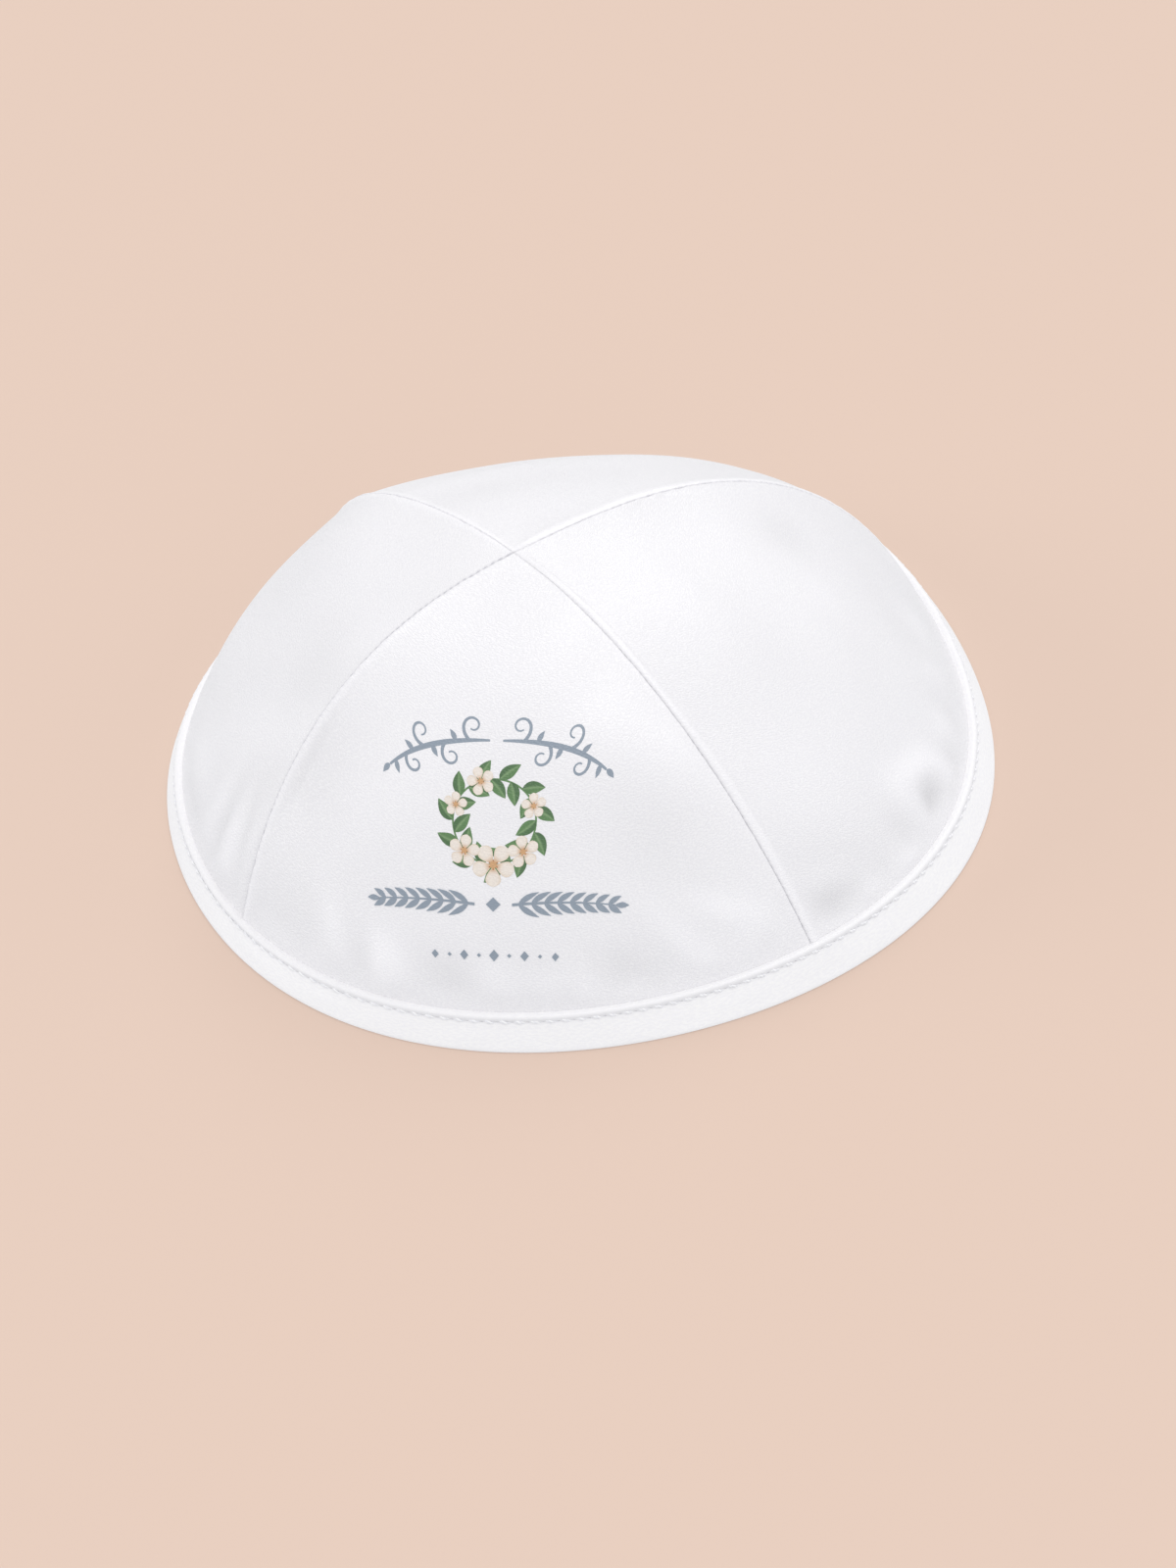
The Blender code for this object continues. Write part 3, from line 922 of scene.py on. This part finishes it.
def curl(x, y, angle, length, bendStart, bendEnd):
    # a line whose bend tightens along it, as a scroll's does
    points = [Vector((x, y))]
    heading = radians(angle)
    count = 48
    for step in range(count):
        bend = radians(blend(bendStart, bendEnd, step / count))
        heading += bend / count
        points.append(points[-1] + Vector((cos(heading), sin(heading))) * length / count)

    def line(share):
        place = share * count
        before = min(int(place), count - 1)
        return tuple(blend(points[before], points[before + 1], place - before))
    return line


def addLeaf(drawing, x, y, angle, length, width):
    drawing.stroke(straight(x, y, angle, length, 18),
                   lambda share: width / 2 * sin(pi * share ** 0.8) ** 0.9 if 0 < share < 1 else 0,
                   leafPaint, 10, 6)


def addBlossom(drawing, x, y, size, turn):
    for number in range(5):
        angle = turn + number * 72
        foot = size * 0.08
        petalX = x + foot * cos(radians(angle))
        petalY = y + foot * sin(radians(angle))
        drawing.stroke(
            straight(petalX, petalY, angle, size * 0.92),
            lambda share: size * 0.36 * sin(pi * min(share, 0.995) ** 1.6) ** 0.55 if share > 0 else 0,
            petalPaint, 10, 6)
    drawing.stroke(straight(x - size * 0.17, y, 0, size * 0.34), dotWidth(size * 0.17),
                   plainPaint(ink["warm"]), 8, 4)
    for number in range(6):
        angle = radians(turn + number * 60)
        seedX = x + size * 0.2 * cos(angle) - size * 0.04
        seedY = y + size * 0.2 * sin(angle)
        drawing.stroke(straight(seedX, seedY, 0, size * 0.08), dotWidth(size * 0.04),
                       plainPaint(ink["seed"]), 4, 2)


def addScroll(drawing, flip):
    # one half of the arched scrollwork: a main stem with curls and small leaves on both sides
    slate = plainPaint(ink["slate"])

    def mirrored(line):
        return lambda share: (flip * line(share)[0], line(share)[1])

    stem = straight(1.2, ornament["scrollLow"], 0, 21.5, 46)
    drawing.stroke(mirrored(stem), lambda share: 0.20 + 0.28 * sin(pi * share), slate, 40, 2)
    for share, angle, length, bendEnd in ((0.18, -42, 9.5, -620), (0.40, 62, 8.5, 600),
                                          (0.60, -10, 9.0, -600), (0.80, 88, 7.0, 560)):
        x, y = stem(share)
        drawing.stroke(mirrored(curl(x, y, angle, length, bendEnd * 0.15, bendEnd)),
                       lambda part: 0.34 * (1 - 0.6 * part), slate, 44, 2)
    for share, angle in ((0.30, -70), (0.52, 110), (0.72, -45), (0.92, 100), (1.0, 40)):
        x, y = stem(share)
        leaf = straight(x, y, angle, 2.3, 25)
        drawing.stroke(mirrored(leaf), leafWidth(0.5, 0.8), slate, 8, 4)


def addLaurel(drawing, flip):
    # one branch of the laurel pair under the wreath
    slate = plainPaint(ink["slate"])

    def sagging(line):
        def sagged(share):
            x, y = line(share)
            return (flip * x, y + ink["lineSag"] * x * x)
        return sagged

    stem = straight(3.4, ornament["laurelLow"], -6, 18.5, 10)
    drawing.stroke(sagging(stem), lambda share: 0.26 * (1 - 0.6 * share), slate, 24, 2)
    for number in range(ornament["laurelPairs"]):
        share = 0.06 + number / ornament["laurelPairs"]
        x, y = stem(share)
        size = 4.4 - number * 0.22
        for side in (-1, 1):
            leaf = straight(x, y, side * 42, size, -side * 22)
            drawing.stroke(sagging(leaf), leafWidth(0.52, 0.85), slate, 8, 4)
    x, y = stem(1.0)
    drawing.stroke(sagging(straight(x, y, 0, 2.6)), leafWidth(0.5), slate, 8, 4)


def addWreath(drawing):
    # an open ring of leaves with blossoms at its foot and shoulders
    y = ornament["wreathLow"]
    ring = ornament["wreathRing"]
    drawing.stroke(lambda share: (ring * cos(2 * pi * share), y + ring * sin(2 * pi * share)),
                   lambda share: 0.16, plainPaint(ink["leafLight"]), 60, 2)
    leaves = ornament["wreathLeaves"]
    for number in range(leaves):
        angle = 360 * number / leaves + 5 * noise.noise(Vector((number * 0.9, 0.4, 0)))
        x, level = ring * cos(radians(angle)), y + ring * sin(radians(angle))
        outwards = 1 if number % 2 else -1
        size = 4.4 + 0.8 * noise.noise(Vector((number * 1.3, 2.4, 0)))
        addLeaf(drawing, x, level, angle + 90 - outwards * 48, size, 2.3)
    for angle, size in ((90, 3.9), (45, 2.9), (135, 2.9), (250, 2.6), (200, 2.2), (340, 2.3)):
        addBlossom(drawing, ring * cos(radians(angle)), y + ring * sin(radians(angle)), size, angle)


def addLozenges(drawing):
    # a short row of large and small lozenges by turns
    slate = plainPaint(ink["slate"])
    for number in range(-4, 5):
        x = number * ornament["lozengePitch"]
        level = ornament["lozengeLow"] + ink["lineSag"] * x * x
        size = 1.75 - 0.12 * abs(number) if number % 2 == 0 else 0.75
        drawing.stroke(straight(x - size / 2, level, 0, size),
                       lozengeWidth(size * (0.62 if size > 1 else 0.5)), slate, 8, 2)


def makePrint(material):
    drawing = Drawing()
    addScroll(drawing, 1)
    addScroll(drawing, -1)
    addWreath(drawing)
    addLaurel(drawing, 1)
    addLaurel(drawing, -1)
    mark = ornament["middleMark"]
    drawing.stroke(straight(-mark / 2, ornament["laurelLow"], 0, mark), lozengeWidth(mark / 2),
                   plainPaint(ink["slate"]), 8, 2)
    addLozenges(drawing)

    mesh = drawing.mesh
    grown = bmesh.ops.extrude_face_region(mesh, geom=mesh.faces[:], use_keep_orig=True)
    under = {item for item in grown["geom"] if isinstance(item, bmesh.types.BMVert)}
    cut = mesh.loops.layers.uv.new("cut")
    place = {}
    for vertex in mesh.verts:
        side, low, layer = vertex[drawing.flat]
        down = low * mm / goreLength["panel_front"]
        across = 0.5 + side * mm / goreWidth("panel_front", down)
        place[vertex] = (side * mm, -low * mm)
        height = ink["filmHeight"] + ink["layerStep"] * layer
        if vertex in under:
            height = -ink["filmHeight"]
        vertex.co = crownPoint("panel_front", across, down,
                               height + rimRelief("panel_front", across, down))
    for face in mesh.faces:
        for loop in face.loops:
            loop[cut].uv = place[loop.vert]
    bmesh.ops.recalc_face_normals(mesh, faces=mesh.faces[:])
    return addPiece("panel_front_print", mesh, material, 50)


def makePrintMaterial():
    # dye pressed into the satin by heat: the cloth's own floats still show through it
    material, shader, colour = clothMaterial("transfer_print_on_satin", gore)
    printed = addNode(material, "Attribute", {"attribute_name": "inkColour"})
    dyed = addNode(material, "Mix", {
        "data_type": "RGBA", "blend_type": "MULTIPLY", colourMix["factor"]: 1.0,
    }, {
        colourMix["first"]: printed.outputs["Color"],
        colourMix["second"]: colour.outputs[colourMix["result"]],
    })
    material.node_tree.links.new(dyed.outputs[colourMix["result"]], shader.inputs["Base Color"])
    return material


# Floor, light and camera
studio = {
    "floor": "#E1C9B9",
    "floorSize": 3.0,
    "worldColour": "#FDFDFF",
    "worldStrength": 0.785,
}

# Large soft lights round the cap: azimuth, elevation, width in degrees, strength, colour
softLights = {
    "light_above": (45, 80, 40, 0.48, "#FFFEFE"),
    "light_behind": (85, 45, 35, 0.37, "#FFFEFE"),
    "light_left": (190, 20, 35, 0.35, "#FFFEFE"),
    "light_right": (5, 25, 35, 0.12, "#FFFEFE"),
    "low_front_right": (-55, 20, 40, 0.20, "#FFFEFF"),
}

photoView = {
    "azimuth": 16.5,  # camera's turn round the cap, to the right of the front gore
    "elevation": 40.0,
    "roll": -8.1,
    "distance": 0.8178,
    "aim": (0.0103, -0.0332, 0.020),
    "lens": 101.3,
    "sensor": 36.0,
}


def addSoftLight(name, azimuth, elevation, width, strength, colour):
    light = bpy.data.lights.new(name, "SUN")
    light.angle = radians(width)
    light.energy = strength
    light.color = linearColour(colour)[:3]
    lamp = bpy.data.objects.new(name, light)
    towards = onAzimuth(radians(azimuth), cos(radians(elevation)), sin(radians(elevation)))
    lamp.rotation_euler = towards.to_track_quat("Z", "Y").to_euler()
    bpy.context.scene.collection.objects.link(lamp)


def makeStudio():
    world = bpy.data.worlds.new("soft_studio")
    world.use_nodes = True
    sky = world.node_tree.nodes["Background"]
    sky.inputs["Color"].default_value = linearColour(studio["worldColour"])
    sky.inputs["Strength"].default_value = studio["worldStrength"]
    bpy.context.scene.world = world
    for name, settings in softLights.items():
        addSoftLight(name, *settings)

    mesh = bmesh.new()
    bmesh.ops.create_grid(mesh, x_segments=8, y_segments=8, size=studio["floorSize"])
    data = bpy.data.meshes.new("floor")
    mesh.to_mesh(data)
    mesh.free()
    paper = bpy.data.materials.new("matt_backdrop_paper")
    paper.use_nodes = True
    shader = paper.node_tree.nodes["Principled BSDF"]
    shader.inputs["Base Color"].default_value = linearColour(studio["floor"])
    shader.inputs["Roughness"].default_value = 1.0
    shader.inputs["Specular IOR Level"].default_value = 0.0
    data.materials.append(paper)
    floor = bpy.data.objects.new("floor", data)
    floor.visible_diffuse = False  # the photo's white balance shows no peach from the backdrop
    floor.visible_glossy = False
    bpy.context.scene.collection.objects.link(floor)


def makeCamera():
    turn = radians(photoView["azimuth"])
    rise = radians(photoView["elevation"])
    back = Vector((sin(turn) * cos(rise), -cos(turn) * cos(rise), sin(rise)))
    data = bpy.data.cameras.new("photo_view")
    data.lens = photoView["lens"]
    data.sensor_width = photoView["sensor"]
    data.clip_start = 0.01
    camera = bpy.data.objects.new("photo_view", data)
    tilt = back.to_track_quat("Z", "Y").to_matrix()
    tilt = tilt @ Matrix.Rotation(radians(photoView["roll"]), 3, "Z")
    place = Vector(photoView["aim"]) + back * photoView["distance"]
    camera.matrix_world = Matrix.Translation(place) @ tilt.to_4x4()
    bpy.context.scene.collection.objects.link(camera)
    bpy.context.scene.camera = camera


makeCamera()
makeStudio()
bpy.context.scene.view_settings.view_transform = "Standard"
print("camera, lights and floor ready")

goreSatin = makeGoreMaterial()
for panelName in panels:
    panelPiece = makePanel(panelName, goreSatin)
    print("gore", panelName, "ready")

tapePiece = makeBinding(makeTapeMaterial())
makeBindingStitches(makeThreadMaterial())
print("binding and its stitches ready")

makePrint(makePrintMaterial())
print("print ready")
